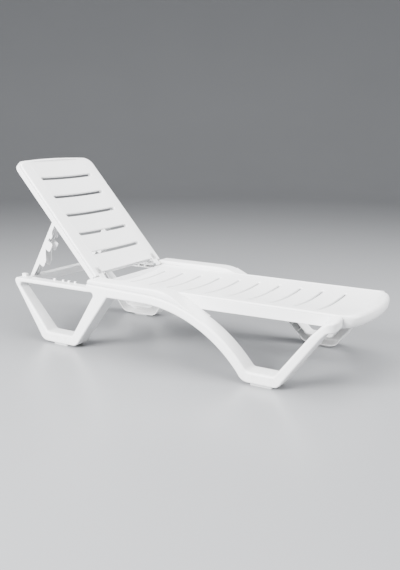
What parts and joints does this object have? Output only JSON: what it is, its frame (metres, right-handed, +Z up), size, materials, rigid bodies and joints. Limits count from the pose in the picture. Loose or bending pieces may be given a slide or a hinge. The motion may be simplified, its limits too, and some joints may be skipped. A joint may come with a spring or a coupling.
{
  "type": "reclining sun lounger",
  "caption": "White moulded resin sun lounger with a slatted dished deck on arched side frames and a slatted backrest propped on a toothed stay.",
  "frame": {"origin": "on the ground under the middle of the whole lounger, backrest at its steepest position", "axes": "+X to the foot end, +Y to the left of someone lying on it, +Z up"},
  "size_m": [1.7727, 0.72, 0.8585],
  "materials": {
    "white_resin": "satin moulded resin",
    "steel": "zinc plated",
    "washer_nylon": "matt",
    "foot_rubber": "matt pale grey"
  },
  "bodies": {
    "base": {"seat_deck": "white_resin", "rear_crossbar": "white_resin", "side_frame_right": "white_resin", "side_frame_left": "white_resin", "hinge_pin_right": "steel", "hinge_pin_left": "steel", "hinge_washer_right": "washer_nylon", "hinge_washer_left": "washer_nylon", "frame_screws_right": "steel", "frame_screws_left": "steel", "crossbar_screws_right": "steel", "crossbar_screws_left": "steel", "head_foot_pad_right": "foot_rubber", "head_foot_pad_left": "foot_rubber", "foot_foot_pad_right": "foot_rubber", "foot_foot_pad_left": "foot_rubber"},
    "backrest": {"backrest_panel": "white_resin", "stay_pin_right": "steel", "stay_pin_left": "steel", "stay_pin_clip_right": "steel", "stay_pin_clip_left": "steel"},
    "stay": {"stay_arm_right": "white_resin", "stay_arm_left": "white_resin", "stay_tie": "white_resin"}
  },
  "joints": [
    {"name": "backrest_hinge", "type": "hinge", "parent": "base", "child": "backrest", "pos_m": [-0.38159, 0, 0.316], "axis": [0, 1, 0], "range_deg": [-48, 0]},
    {"name": "stay_hinge", "type": "hinge", "parent": "backrest", "child": "stay", "pos_m": [-0.64478, 0, 0.59037], "axis": [0, 1, 0], "range_deg": [0, 103]}
  ],
  "couplings": [
    {"joint": "stay_hinge", "follows": "backrest_hinge", "ratio": -2.14}
  ]
}
